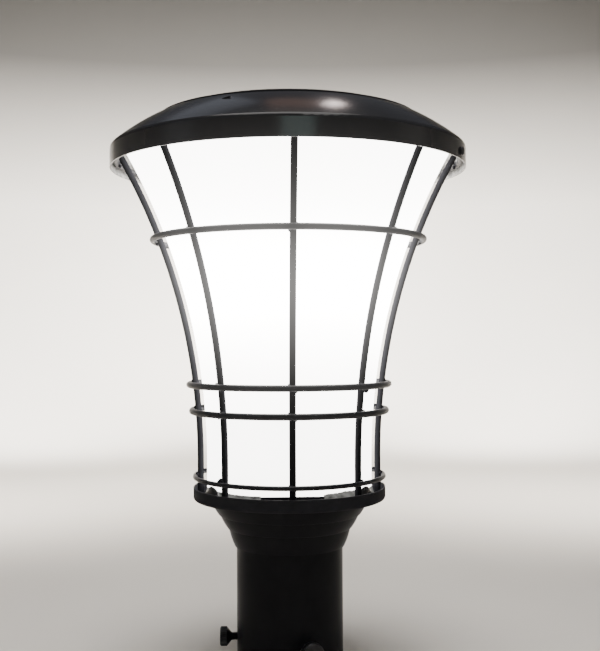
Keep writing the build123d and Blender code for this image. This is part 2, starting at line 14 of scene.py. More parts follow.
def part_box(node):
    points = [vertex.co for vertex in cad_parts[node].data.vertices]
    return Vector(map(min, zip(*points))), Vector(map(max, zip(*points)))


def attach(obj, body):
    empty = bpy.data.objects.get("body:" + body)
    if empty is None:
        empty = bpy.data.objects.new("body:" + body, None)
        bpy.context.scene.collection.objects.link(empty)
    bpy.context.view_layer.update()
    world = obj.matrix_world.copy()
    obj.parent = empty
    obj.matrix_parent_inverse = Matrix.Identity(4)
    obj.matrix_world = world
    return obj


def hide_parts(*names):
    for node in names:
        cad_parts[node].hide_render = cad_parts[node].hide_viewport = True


bl_info = {
    "name": "Gate Pillar Light",
    "version": (1, 0, 0),
    "blender": (4, 5, 0),
    "location": "3D View > Sidebar > Pillar Light",
    "description": "Dresses the packed gate pillar light and sets it on a plain stage",
    "category": "Object",
}

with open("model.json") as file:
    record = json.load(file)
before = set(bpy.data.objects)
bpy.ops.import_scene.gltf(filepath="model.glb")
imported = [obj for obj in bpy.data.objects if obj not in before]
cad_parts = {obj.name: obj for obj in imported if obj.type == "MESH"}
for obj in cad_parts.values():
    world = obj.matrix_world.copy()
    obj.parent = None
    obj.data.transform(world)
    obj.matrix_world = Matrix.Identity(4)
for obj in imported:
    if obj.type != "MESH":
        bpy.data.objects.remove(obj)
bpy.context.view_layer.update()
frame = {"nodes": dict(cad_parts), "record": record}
NODES = frame["nodes"]
BARS = sorted(name for name in NODES if name.startswith("cage_bar_"))
HOOPS = sorted(name for name in NODES if name.startswith("hoop_"))
THUMB_SCREWS = sorted(name for name in NODES if name.startswith("thumb_screw_"))
CAP_SCREWS = ("cap_screw_left", "cap_screw_right")
NEAR = 0.001  # vertices this close to an end belong to it
FRONT = -math.pi / 2  # angle of the front, from the right-hand side
RINGS_PER_TURN = 8  # of a thread
THREAD_DEPTH = 0.55  # of a screw thread's pitch


# Places and sizes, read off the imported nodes


def slot_colour(slot):
    """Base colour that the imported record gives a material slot."""
    entry = next(m for m in frame["record"]["materials"] if m["slot"] == slot)
    return tuple(entry["base_color"][:3])


def hoop_ring(hoop):
    """Radius to the middle of a hoop's wire, its height, and the wire's diameter."""
    low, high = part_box(hoop)
    wire = high.z - low.z
    return high.x - wire / 2, (low.z + high.z) / 2, wire


def spoke(node):
    """Outward direction of a node that stands to one side of the lantern's axis."""
    low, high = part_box(node)
    return ((low + high) / 2 * Vector((1, 1, 0))).normalized()


def out_at(angle):
    """Outward direction at an angle round the axis, from the right-hand side."""
    return Vector((math.cos(angle), math.sin(angle), 0))


def full_turn(steps):
    """Angles of even steps once round the axis."""
    return [math.tau * step / steps for step in range(steps)]


def foot_radius(node):
    """Largest radius, round the lantern's axis, of a node's lower end."""
    low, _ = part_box(node)
    return max(v.co.xy.length for v in NODES[node].data.vertices if v.co.z < low.z + NEAR)


def spoke_place(outward, radius, height):
    """Local X sideways, Y up and Z outward, at a radius and height on a spoke."""
    up = Vector((0, 0, 1))
    turned = Matrix((up.cross(outward), up, outward)).transposed().to_4x4()
    return Matrix.Translation(outward * radius + up * height) @ turned


def top_height(node, radius):
    """Height of a round node's upper face at a radius."""
    mesh = NODES[node].data
    corners, faces = [v.co for v in mesh.vertices], [face.vertices for face in mesh.polygons]
    skin = BVHTree.FromPolygons(corners, faces)
    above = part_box(node)[1].z + NEAR
    return skin.ray_cast(Vector((0, -radius, above)), Vector((0, 0, -1)))[0].z


def screw_stations(node):
    """A turned screw's outline: radii by distance along its own spoke, from tip to head."""
    low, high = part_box(node)
    outward = spoke(node)
    middle = Vector((0, 0, (low.z + high.z) / 2))
    widest = {}
    for vert in NODES[node].data.vertices:
        along = vert.co.dot(outward)
        across = (vert.co - middle - outward * along).length
        widest[round(along, 4)] = max(across, widest.get(round(along, 4), 0))
    return sorted(widest.items())


# Settings


def colour_setting(name, description, default):
    """Colour of a paint or a light."""
    return FloatVectorProperty(
        name=name, description=description, subtype="COLOR", size=3, min=0, max=1, default=default)


def share_setting(name, description, default):
    """Anything from none to full."""
    return FloatProperty(name=name, description=description, subtype="FACTOR", min=0, max=1, default=default)


def length_setting(name, description, default, most):
    """Length in metres."""
    return FloatProperty(
        name=name, description=description, unit="LENGTH", precision=5, min=0, max=most, default=default)


def angle_setting(name, description, degrees):
    """Angle round the lantern's axis."""
    return FloatProperty(
        name=name, description=description, subtype="ANGLE", min=-math.pi, max=math.pi,
        default=math.radians(degrees))


class EnamelSettings(bpy.types.PropertyGroup):
    """Black paint on the pressed parts and the cage."""

    tint: colour_setting("Shell paint", "Colour of socket, cone, pan and cap", slot_colour("black_enamel"))
    cage_tint: colour_setting("Cage paint", "Colour of the bars and hoops", slot_colour("cage_enamel"))
    inside_grey: colour_setting("Primer", "Colour of the bare primer inside the cap", (0.22, 0.215, 0.205))
    roughness: share_setting("Roughness", "How dull the paint on socket and cone is", 0.33)
    cap_roughness: share_setting("Cap roughness", "How dull the cap's paint is", 0.18)
    pan_roughness: share_setting("Pan roughness", "How dull the paint on pan and strap is", 0.6)
    bar_roughness: share_setting("Bar roughness", "How dull the paint on the bars is", 0.8)
    hoop_roughness: share_setting("Hoop roughness", "How dull the paint on the hoops is", 0.42)
    sheen: share_setting("Sheen", "How strongly the paint on socket and cone reflects", 0.035)
    cap_sheen: share_setting("Cap sheen", "How strongly the cap's paint reflects", 0.28)
    pan_sheen: share_setting("Pan sheen", "How strongly the paint on pan and strap reflects", 0.012)
    bar_sheen: share_setting("Bar sheen", "How strongly the paint on the bars reflects", 0.0)
    hoop_sheen: share_setting("Hoop sheen", "How strongly the paint on the hoops reflects", 0.15)
    peel: length_setting("Orange peel", "Height of the paint's fine ripple", 0.00003, 0.001)
    wear: share_setting("Edge wear", "How much of the edges is rubbed thin", 0.15)
    dust: share_setting("Dust", "How much dust lies on faces that look up", 0.02)
    seam_radius: length_setting("Crown seam", "Radius of the thin seam below the cap's crown", 0.0928, 0.12)
    seam_width: length_setting("Seam width", "Width of the crown's seam", 0.0012, 0.005)
    lump_angle: angle_setting("Dab angle", "Where the flank's dab of paint is, from the right-hand side", -114)


class GlowSettings(bpy.types.PropertyGroup):
    """Painted glow of the opal sheet, standing in for the light of the lamp inside it, and the light of that
    lamp's globe.
    """

    colour: colour_setting("Glow colour", "Colour of the lit opal sheet", (1.0, 0.975, 0.94))
    strength: FloatProperty(
        name="Glow strength", description="Brightness of the opal sheet at its brightest", min=0, max=100,
        default=20)


class WeldSettings(bpy.types.PropertyGroup):
    """Weld beads of the cage."""

    length: length_setting("Bead half length", "Half the length of a usual bead along its wire", 0.0014, 0.01)
    depth: length_setting("Bead half depth", "Half the depth of a bead between bar and hoop", 0.0012, 0.005)


class FootSettings(bpy.types.PropertyGroup):
    """Sealant and wedges at the diffuser's foot."""

    rise: length_setting("Sealant height", "Height of the sealant above the pan's floor", 0.0092, 0.02)
    fold: length_setting("Fold height", "How much higher the folded lump at the right front is", 0.0019, 0.01)
    fold_angle: angle_setting("Fold angle", "Where the folded lump is, from the right-hand side", -50)
    fold_span: angle_setting("Fold span", "How far the folded lump reaches to each side", 20)
    wedge_right: angle_setting("Right wedge", "How far the right rubber wedge is from the front", 57.5)
    wedge_left: angle_setting("Left wedge", "How far the left rubber wedge is from the front", 64)
    wedge_span: angle_setting("Wedge span", "How far a wedge reaches along the diffuser's foot", 26)
    wedge_height: length_setting("Wedge height", "Height of a wedge above the pan's floor", 0.0110, 0.02)


class ScrewSettings(bpy.types.PropertyGroup):
    """Threads and knurls."""

    clamp_pitch: length_setting("Thumb screw pitch", "Thread pitch of the thumb screws", 0.001, 0.003)
    small_pitch: length_setting("Small screw pitch", "Thread pitch of the small screws", 0.0007, 0.003)
    lamp_pitch: length_setting("Lamp thread pitch", "Pitch of the lamp base's rolled thread", 0.0036, 0.006)
    ridges: IntProperty(
        name="Knurl ridges", description="Ridges round a thumb screw's head", min=8, max=80, default=34)


class StageSettings(bpy.types.PropertyGroup):
    """Floor, backdrop and camera."""

    tone: colour_setting("Stage tone", "Colour of the floor and the backdrop", (0.585, 0.56, 0.52))
    distance: length_setting("Camera distance", "From the camera to the lantern's axis", 0.722, 5)
    eye: length_setting("Camera height", "Above the foot of the socket", 0.229, 3)
    bearing: angle_setting("Camera bearing", "Round the axis, from straight in front", -1.9)
    lens: FloatProperty(
        name="Lens", description="Focal length on a 36 mm frame", min=10, max=300, default=55.3)
    veil: share_setting("Veil", "How strongly the brightest light veils what is near it", 0.085)


class PillarLightSettings(bpy.types.PropertyGroup):
    """All that a user of the light would change."""

    enamel: PointerProperty(type=EnamelSettings)
    glow: PointerProperty(type=GlowSettings)
    welds: PointerProperty(type=WeldSettings)
    foot: PointerProperty(type=FootSettings)
    screws: PointerProperty(type=ScrewSettings)
    stage: PointerProperty(type=StageSettings)


def settings():
    """The light's settings in this scene."""
    return bpy.context.scene.pillar_light


# Meshes


def turn(bm, stations, around, place, ripple=None):
    """Closed turned skin about local Z, from (height, radius) stations, less a ripple if there is one."""
    rings = []
    for height, radius in stations:
        ring = []
        for angle in full_turn(around):
            reach = radius - (ripple(angle, height) if ripple else 0)
            at = Vector((reach * math.cos(angle), reach * math.sin(angle), height))
            ring.append(bm.verts.new(place @ at))
        rings.append(ring)
    for lower, upper in zip(rings, rings[1:]):
        for step in range(around):
            bm.faces.new((lower[step - 1], lower[step], upper[step], upper[step - 1]))
    bm.faces.new(reversed(rings[0]))
    bm.faces.new(rings[-1])


def thread_stations(start, end, radius, pitch):
    """Rings close enough together to carry a thread between two heights."""
    count = math.ceil((end - start) / pitch * RINGS_PER_TURN)
    return [(start + (end - start) * step / count, radius) for step in range(count + 1)]


def thread_ripple(start, end, pitch, depth, rounded):
    """Helical groove that runs out at both ends: a sharp vee, or a rounded wave."""

    def ripple(angle, height):
        phase = ((height - start) / pitch - angle / math.tau) % 1
        groove = 0.5 - 0.5 * math.cos(math.tau * phase) if rounded else 1 - abs(2 * phase - 1)
        runout = min(1, (height - start) / pitch * 2, (end - height) / pitch * 2)
        return depth * groove * max(runout, 0)

    return ripple


def knurl_ripple(start, end, ridges, depth):
    """Straight knurl on the rim of a head, between two heights."""

    def ripple(angle, height):
        return depth * (0.5 - 0.5 * math.cos(ridges * angle)) if start < height < end else 0

    return ripple


def bead(bm, place, size, seed):
    """Lump of weld metal: a small uneven ellipsoid of the given half sizes."""
    lump = bmesh.ops.create_icosphere(bm, subdivisions=3, radius=1)
    drift = Vector((seed * 3.7, seed * 1.3, 0))
    for vert in lump["verts"]:
        swell = 1 + 0.2 * noise.noise(vert.co * 1.4 + drift) + 0.06 * noise.noise(vert.co * 5 + drift)
        vert.co = place @ (vert.co * swell * size)


def swept(bm, wall, floor, angles, outline, closed):
    """Sweeps an outline of (outward, upward) points, which may change with the angle, round the axis."""
    rings = []
    for angle in angles:
        out = out_at(angle)
        places = [out * (wall + along) + Vector((0, 0, floor + up)) for along, up in outline(angle)]
        rings.append([bm.verts.new(place) for place in places])
    for before, after in zip(rings, rings[1:] + rings[:1] if closed else rings[1:]):
        for corner in range(len(before)):
            bm.faces.new((before[corner - 1], before[corner], after[corner], after[corner - 1]))
    if not closed:
        bm.faces.new(rings[0])
        bm.faces.new(reversed(rings[-1]))


def settle(name, bm, body, finish, sharp=40):
    """Makes a piece of a finished mesh, gives it its finish and fixes it to its body."""
    bmesh.ops.recalc_face_normals(bm, faces=bm.faces)
    mesh = bpy.data.meshes.new(name)
    bm.to_mesh(mesh)
    bm.free()
    mesh.shade_smooth()
    mesh.set_sharp_from_angle(angle=math.radians(sharp))
    mesh.materials.append(finish)
    piece = bpy.data.objects.new(name, mesh)
    bpy.context.scene.collection.objects.link(piece)
    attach(piece, body)
    return piece


def cut_cross(piece, places, span, width, depth):
    """Sinks a cross recess into screw heads, at places whose local Z points out of the head."""
    bm = bmesh.new()
    for place in places:
        for quarter in (0, math.pi / 2):
            bar = Matrix.Rotation(quarter, 4, "Z") @ Matrix.Diagonal((span, width, 2 * depth, 1))
            bmesh.ops.create_cube(bm, size=1, matrix=place @ bar)
    mesh = bpy.data.meshes.new("cross_cutter")
    bm.to_mesh(mesh)
    bm.free()
    cutter = bpy.data.objects.new("cross_cutter", mesh)
    bpy.context.scene.collection.objects.link(cutter)
    recess = piece.modifiers.new("recess", "BOOLEAN")
    recess.object = cutter
    recess.use_self = True
    whole = piece.data
    graph = bpy.context.evaluated_depsgraph_get()
    piece.data = bpy.data.meshes.new_from_object(piece.evaluated_get(graph))
    piece.modifiers.remove(recess)
    bpy.data.meshes.remove(whole)
    bpy.data.objects.remove(cutter)
    bpy.data.meshes.remove(mesh)


# Shader nodes


def plug(tree, value, socket):
    """Links another node's output to a socket, or sets the socket to a value."""
    if isinstance(value, bpy.types.NodeSocket):
        tree.links.new(value, socket)
    else:
        socket.default_value = value


def wire(tree, kind, sockets, **options):
    """Adds a node, sets its options, and fills its sockets with values or links."""
    made = tree.nodes.new(kind)
    for option, value in options.items():
        setattr(made, option, value)
    for key, value in sockets.items():
        plug(tree, value, made.inputs[key])
    return made


def layer(tree, mask, under, over):
    """Lays one colour over another where the mask is high."""
    return wire(tree, "ShaderNodeMix", {0: mask, 6: under, 7: over}, data_type="RGBA").outputs[2]


def ranged(tree, value, ends, onto):
    """Maps a value from one pair of ends onto another, and holds it there."""
    sockets = {"Value": value, 1: ends[0], 2: ends[1], 3: onto[0], 4: onto[1]}
    return wire(tree, "ShaderNodeMapRange", sockets).outputs["Result"]


def sums(tree, operation, first, second):
    """One step of arithmetic."""
    return wire(tree, "ShaderNodeMath", {0: first, 1: second}, operation=operation).outputs[0]


def dot(tree, first, second):
    """Dot product of two vectors."""
    sockets = {0: first, 1: second}
    return wire(tree, "ShaderNodeVectorMath", sockets, operation="DOT_PRODUCT").outputs["Value"]


def own_place(tree):
    """The piece's own coordinates, which stay with it when it moves."""
    return tree.nodes.new("ShaderNodeTexCoord").outputs["Object"]


def parted(tree, vector):
    """The X, Y and Z of a vector."""
    return wire(tree, "ShaderNodeSeparateXYZ", {"Vector": vector}).outputs


def grain(tree, scale, detail=2.0):
    """Noise over the piece's own coordinates."""
    sockets = {"Vector": own_place(tree), "Scale": scale, "Detail": detail}
    return wire(tree, "ShaderNodeTexNoise", sockets).outputs["Fac"]


def effect(name, inputs, output):
    """New shared effect: a shader group with value inputs and one value output."""
    tree = bpy.data.node_groups.new(name, "ShaderNodeTree")
    for label, default in inputs.items():
        socket = tree.interface.new_socket(label, in_out="INPUT", socket_type="NodeSocketFloat")
        socket.default_value = default
    tree.interface.new_socket(output, in_out="OUTPUT", socket_type="NodeSocketFloat")
    return tree, tree.nodes.new("NodeGroupInput").outputs, tree.nodes.new("NodeGroupOutput").inputs[0]


def orange_peel():
    """Fine ripple of sprayed paint, moulded plastic or glaze."""
    tree, given, result = effect("Orange peel", {"Cells per metre": 900}, "Height")
    coarse = grain(tree, given["Cells per metre"])
    fine = grain(tree, sums(tree, "MULTIPLY", given["Cells per metre"], 3.7))
    tree.links.new(sums(tree, "ADD", coarse, sums(tree, "MULTIPLY", fine, 0.3)), result)


def handling():
    """Cloudy patches left by handling, rubbing and uneven curing."""
    tree, given, result = effect("Handling", {"Patches per metre": 22}, "Mask")
    broad = grain(tree, given["Patches per metre"], 4.0)
    small = grain(tree, sums(tree, "MULTIPLY", given["Patches per metre"], 6), 3.0)
    both = sums(tree, "ADD", sums(tree, "MULTIPLY", broad, 0.7), sums(tree, "MULTIPLY", small, 0.3))
    tree.links.new(ranged(tree, both, (0.35, 0.65), (0, 1)), result)


def edge_wear():
    """Paint rubbed thin along edges, in patches."""
    inputs = {"Width": 0.0006, "Patches per metre": 160, "Cover": 0.4}
    tree, given, result = effect("Edge wear", inputs, "Mask")
    rounded = wire(tree, "ShaderNodeBevel", {"Radius": given["Width"]}, samples=4).outputs["Normal"]
    true = tree.nodes.new("ShaderNodeNewGeometry").outputs["Normal"]
    facing = dot(tree, rounded, true)
    edge = ranged(tree, facing, (0.985, 0.9), (0, 1))
    floor = sums(tree, "SUBTRACT", 0.75, sums(tree, "MULTIPLY", given["Cover"], 0.5))
    patch = sums(tree, "SUBTRACT", grain(tree, given["Patches per metre"], 4.0), floor)
    tree.links.new(sums(tree, "MULTIPLY", edge, ranged(tree, patch, (0, 0.12), (0, 1))), result)


def settled_dust():
    """Dust on faces that look up."""
    tree, given, result = effect("Settled dust", {"Cover": 0.3, "Specks per metre": 700}, "Mask")
    normal = tree.nodes.new("ShaderNodeNewGeometry").outputs["Normal"]
    upward = parted(tree, normal)["Z"]
    facing = ranged(tree, upward, (0.45, 0.95), (0, 1))
    cloud = ranged(tree, grain(tree, 30, 5.0), (0.35, 0.7), (0.25, 1))
    specks = ranged(tree, grain(tree, given["Specks per metre"]), (0.35, 0.75), (0.2, 1))
    film = sums(tree, "MULTIPLY", sums(tree, "MULTIPLY", facing, cloud), specks)
    tree.links.new(sums(tree, "MULTIPLY", film, given["Cover"]), result)


def speckle():
    """Scattered small dots, as in glaze, rubber or moulded plastic."""
    tree, given, result = effect("Speckle", {"Dots per metre": 500, "Size": 0.15}, "Mask")
    sockets = {"Vector": own_place(tree), "Scale": given["Dots per metre"]}
    cells = wire(tree, "ShaderNodeTexVoronoi", sockets)
    inside = sums(tree, "LESS_THAN", cells.outputs["Distance"], given["Size"])
    tree.links.new(sums(tree, "MULTIPLY", inside, grain(tree, 60, 2.0)), result)


EFFECTS = {
    "Orange peel": orange_peel,
    "Handling": handling,
    "Edge wear": edge_wear,
    "Settled dust": settled_dust,
    "Speckle": speckle,
}


def shared(tree, name, **values):
    """Places a shared effect in a material with its own values, and returns what it puts out."""
    if name not in bpy.data.node_groups:
        EFFECTS[name]()
    placed = wire(tree, "ShaderNodeGroup", {}, node_tree=bpy.data.node_groups[name])
    for key, value in values.items():
        placed.inputs[key.replace("_", " ").capitalize()].default_value = value
    return placed.outputs[0]


def bumped(tree, height, distance, strength=1.0):
    """Normal of a fine relief."""
    sockets = {"Height": height, "Distance": distance, "Strength": strength}
    return wire(tree, "ShaderNodeBump", sockets).outputs["Normal"]


def new_finish(name):
    """New material with its surface shader, and the tree to wire it in."""
    finish = bpy.data.materials.new(name)
    finish.use_nodes = True
    return finish, finish.node_tree, finish.node_tree.nodes["Principled BSDF"]


def fill(tree, shader, **sockets):
    """Sets or links the surface shader's sockets by name."""
    for key, value in sockets.items():
        plug(tree, value, shader.inputs[key.replace("_", " ")])


def opaque(colour, scale=1.0):
    """Colour with full alpha, brightened or dimmed."""
    return (*[part * scale for part in colour[:3]], 1)


# Finishes


def enamel_coat(tree, roughness):
    """Colour, roughness and relief of black enamel, with handling marks, rubbed edges and a little dust."""
    coat = settings().enamel
    marks = shared(tree, "Handling", patches_per_metre=22)
    worn = shared(tree, "Edge wear", width=0.0006, patches_per_metre=160, cover=coat.wear)
    dusty = shared(tree, "Settled dust", cover=coat.dust, specks_per_metre=700)
    paint = layer(tree, marks, opaque(coat.tint, 1.1), opaque(coat.tint, 1.3))
    paint = layer(tree, worn, paint, (0.04, 0.038, 0.036, 1))
    paint = layer(tree, dusty, paint, (0.30, 0.28, 0.25, 1))
    rough = ranged(tree, marks, (0, 1), (roughness * 0.95, roughness * 1.06))
    rough = sums(tree, "ADD", rough, sums(tree, "MULTIPLY", dusty, 0.6))
    return paint, rough, shared(tree, "Orange peel", cells_per_metre=900)


def shell_enamel(name):
    """Semi-gloss black enamel on plain pressed parts."""
    coat = settings().enamel
    finish, tree, shader = new_finish(name)
    paint, rough, relief = enamel_coat(tree, coat.roughness)
    fill(tree, shader, Base_Color=paint, Roughness=rough, Specular_IOR_Level=coat.sheen,
         Normal=bumped(tree, relief, coat.peel))
    return finish


def cap_enamel(name):
    """Enamel of the cap, grey in streaks on its inner faces."""
    coat = settings().enamel
    finish, tree, shader = new_finish(name)
    paint, rough, relief = enamel_coat(tree, coat.cap_roughness)
    # Faces that look in towards the axis or down are grey in streaks, and rougher
    sockets = {0: own_place(tree), 1: (1, 1, 0)}
    level = wire(tree, "ShaderNodeVectorMath", sockets, operation="MULTIPLY").outputs["Vector"]
    normal = tree.nodes.new("ShaderNodeNewGeometry").outputs["True Normal"]
    upward = parted(tree, normal)["Z"]
    facing_axis = sums(tree, "LESS_THAN", dot(tree, normal, level), -0.02)
    inside = sums(tree, "MAXIMUM", facing_axis, sums(tree, "LESS_THAN", upward, -0.5))
    streaks = ranged(tree, grain(tree, 160, 6.0), (0.42, 0.58), (0, 1))
    inside_grey = layer(tree, streaks, opaque(coat.inside_grey, 0.45), opaque(coat.inside_grey))
    fill(tree, shader, Base_Color=layer(tree, inside, paint, inside_grey),
         Roughness=sums(tree, "ADD", rough, sums(tree, "MULTIPLY", inside, 0.25)),
         Specular_IOR_Level=coat.cap_sheen, Normal=bumped(tree, relief, coat.peel * 0.4))
    return finish


def dull_enamel(name, tint, roughness, sheen):
    """Duller black enamel, whole all along, as on round bar and wire."""
    finish, tree, shader = new_finish(name)
    marks = shared(tree, "Handling", patches_per_metre=60)
    paint = layer(tree, marks, opaque(tint, 1.0), opaque(tint, 1.3))
    rough = ranged(tree, marks, (0, 1), (roughness - 0.04, roughness + 0.06))
    relief = shared(tree, "Orange peel", cells_per_metre=1300)
    fill(tree, shader, Base_Color=paint, Roughness=rough, Specular_IOR_Level=sheen,
         Normal=bumped(tree, relief, settings().enamel.peel * 0.1))
    return finish


def pan_enamel(name):
    """Enamel of pan and strap, greyer than the rest."""
    coat = settings().enamel
    greyer = opaque(coat.tint, 1.7)
    return dull_enamel(name, greyer, coat.pan_roughness, coat.pan_sheen)


def bar_enamel(name):
    """Enamel of the bars."""
    coat = settings().enamel
    return dull_enamel(name, coat.cage_tint, coat.bar_roughness, coat.bar_sheen)


def hoop_enamel(name):
    """Enamel of the hoops."""
    coat = settings().enamel
    return dull_enamel(name, coat.cage_tint, coat.hoop_roughness, coat.hoop_sheen)


def blackened(name):
    """Blackened turned steel, bright where it is rubbed."""
    tint = slot_colour("blackened_steel")
    finish, tree, shader = new_finish(name)
    marks = shared(tree, "Handling", patches_per_metre=140)
    worn = shared(tree, "Edge wear", width=0.0003, patches_per_metre=900, cover=0.55)
    metal = layer(tree, marks, opaque(tint, 0.6), opaque(tint, 1.3))
    metal = layer(tree, worn, metal, (0.34, 0.33, 0.32, 1))
    rough = ranged(tree, marks, (0, 1), (0.30, 0.48))
    fine = shared(tree, "Orange peel", cells_per_metre=4000)
    relief = bumped(tree, fine, 0.00001)
    fill(tree, shader, Base_Color=metal, Metallic=1.0, Roughness=rough, Normal=relief)
    return finish


def bright_metal(name, tint, tarnish, low_rough, high_rough):
    """Plated or drawn metal, with patches of tarnish."""
    finish, tree, shader = new_finish(name)
    marks = shared(tree, "Handling", patches_per_metre=120)
    spots = shared(tree, "Speckle", dots_per_metre=900, size=0.12)
    metal = layer(tree, marks, opaque(tint), opaque(tarnish))
    metal = layer(tree, spots, metal, opaque(tarnish, 0.5))
    rough = ranged(tree, marks, (0, 1), (low_rough, high_rough))
    fine = shared(tree, "Orange peel", cells_per_metre=5000)
    relief = bumped(tree, fine, 0.000008)
    fill(tree, shader, Base_Color=metal, Metallic=1.0, Roughness=rough, Normal=relief)
    return finish


def zinc(name):
    """Bright zinc plate."""
    tint = slot_colour("zinc_steel")
    return bright_metal(name, tint, tarnish=(0.50, 0.50, 0.46), low_rough=0.25, high_rough=0.42)


def brass(name):
    """Drawn brass."""
    tint = slot_colour("brass")
    return bright_metal(name, tint, tarnish=(0.46, 0.33, 0.15), low_rough=0.22, high_rough=0.40)


def moulded(name, tint, roughness, cells, relief, speck, coat=0.0):
    """Moulded or glazed body: faint clouding, specks and a fine relief."""
    finish, tree, shader = new_finish(name)
    marks = shared(tree, "Handling", patches_per_metre=45)
    dots = shared(tree, "Speckle", dots_per_metre=650, size=0.1)
    body = layer(tree, marks, opaque(tint, 0.94), opaque(tint))
    body = layer(tree, dots, body, opaque(speck))
    rough = ranged(tree, marks, (0, 1), (roughness * 0.85, roughness * 1.15))
    peel = shared(tree, "Orange peel", cells_per_metre=cells)
    fill(tree, shader, Base_Color=body, Roughness=rough, Coat_Weight=coat, Normal=bumped(tree, peel, relief))
    return finish


def sealant(name):
    """Grey sealant, with a painted glow that stands in for a little of the diffuser's light coming through
    it.
    """
    finish = moulded(
        name, (0.035, 0.035, 0.033), roughness=0.38, cells=400, relief=0.00008, speck=(0.06, 0.06, 0.06))
    tree = finish.node_tree
    # Painted light: the glow is stronger in the sealant's folds, in patches
    folds = ranged(tree, grain(tree, 220, 5.0), (0.35, 0.65), (0, 1))
    through = layer(tree, folds, (0.05, 0.05, 0.048, 1), (0.22, 0.22, 0.21, 1))
    fill(tree, tree.nodes["Principled BSDF"], Emission_Color=through, Emission_Strength=1.0)
    return finish


def lit_opal(name, tones):
    """Opal sheet that glows by emission, in tones by height in metres, each a share of the full glow: painted
    light on the diffuser's shells, standing in for the lamp's light through them, and the lamp's own light on
    its globe.
    """
    light = settings().glow
    finish, tree, shader = new_finish(name)
    height = parted(tree, own_place(tree))["Z"]
    low, high = tones[0][0], tones[-1][0]
    ramp = wire(tree, "ShaderNodeValToRGB", {"Fac": ranged(tree, height, (low, high), (0, 1))})
    ramp.color_ramp.interpolation = "B_SPLINE"
    stops = ramp.color_ramp.elements
    while len(stops) < len(tones):
        stops.new(0.5)
    for stop, (at, share) in zip(stops, tones):
        stop.position = (at - low) / (high - low)
        stop.color = opaque(light.colour, share)
    # Painted light: the glow dims in broad patches towards a greyer tone
    cloud = ranged(tree, shared(tree, "Handling", patches_per_metre=14), (0, 1), (0.0, 0.07))
    glow = layer(tree, cloud, ramp.outputs["Color"], (0.6, 0.57, 0.53, 1))
    dots = shared(tree, "Speckle", dots_per_metre=300, size=0.08)
    sheet = layer(tree, dots, opaque(slot_colour("opal_sheet")), (0.80, 0.78, 0.74, 1))
    peel = shared(tree, "Orange peel", cells_per_metre=250)
    fill(tree, shader, Base_Color=sheet, Roughness=0.28, Emission_Color=glow,
         Emission_Strength=light.strength, Normal=bumped(tree, peel, 0.00002))
    return finish


def finish_called(name, make):
    """The material of that name, made on first use."""
    return bpy.data.materials.get(name) or make(name)


def dress(finish, *nodes):
    """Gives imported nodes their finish."""
    for name in nodes:
        NODES[name].data.materials.clear()
        NODES[name].data.materials.append(finish)


# One operator for each piece or group of like pieces


class PaintShells(bpy.types.Operator):
    """Paint the socket, cone, pan, strap and cap"""

    bl_idname = "pillar_light.paint_shells"
    bl_label = "Pressed shells"

    def execute(self, context):
        shell = finish_called("shell_enamel", shell_enamel)
        dress(shell, "socket_tube", "stepped_cone", "diffuser_spacers")
        dress(finish_called("pan_enamel", pan_enamel), "base_pan", "holder_strap")
        dress(finish_called("cap_enamel", cap_enamel), "cap")
        return {"FINISHED"}


# Small dull black lump on the cap's flank, past the crown's seam: where it sits, how big it is and how it is
# turned
LUMP_BEYOND_SEAM = 0.0106
LUMP_HALF_SIZES = Vector((0.0034, 0.0007, 0.0007))
LUMP_TILT = 0.2


class RollSeam(bpy.types.Operator):
    """Roll the thin seam below the cap's crown, and set a small dull black lump on the flank"""

    bl_idname = "pillar_light.roll_seam"
    bl_label = "Crown seam"

    def execute(self, context):
        coat = settings().enamel
        radius, half = coat.seam_radius, coat.seam_width / 2
        outline = [(half * math.cos(angle), half * math.sin(angle)) for angle in full_turn(12)]
        bm = bmesh.new()
        swept(bm, radius, top_height("cap", radius), full_turn(240), lambda angle: outline, True)
        dull = finish_called("bar_enamel", bar_enamel)
        settle("cap_seam", bm, "cap", dull)
        bm = bmesh.new()
        reach = radius + LUMP_BEYOND_SEAM
        flat = spoke_place(out_at(coat.lump_angle), reach, top_height("cap", reach))
        bead(bm, flat @ Matrix.Rotation(LUMP_TILT, 4, "Z"), LUMP_HALF_SIZES, seed=2)
        settle("cap_lump", bm, "cap", dull)
        return {"FINISHED"}


class PaintCage(bpy.types.Operator):
    """Paint the bars and hoops of the cage"""

    bl_idname = "pillar_light.paint_cage"
    bl_label = "Cage"

    def execute(self, context):
        dress(finish_called("bar_enamel", bar_enamel), *BARS)
        dress(finish_called("hoop_enamel", hoop_enamel), *HOOPS)
        return {"FINISHED"}


# Beads that stand out: their side of the bar, their lift above the hoop, and how much they are grown
HEAVY_BEADS = {
    ("hoop_middle", "cage_bar_2"): (1, -1, 1.9),
    ("hoop_foot", "cage_bar_8"): (-1, 1, 1.7),
}
HOOP_CLOSES = 112.5  # degrees from the right-hand side, between two bars at the back
CLOSING_SPREAD = 9  # degrees to each side of that
CORNER_SHARE = 0.45  # of the wire, from a crossing's middle to its beads
CLOSING_BEAD = Vector((0.7, 0.54, 0.54))  # half sizes, in diameters of the hoop's wire
FOOT_BEAD = Vector((0.65, 0.3, 0.57))  # half sizes, in diameters of a bar
FOOT_BEAD_LIFT = 0.0006


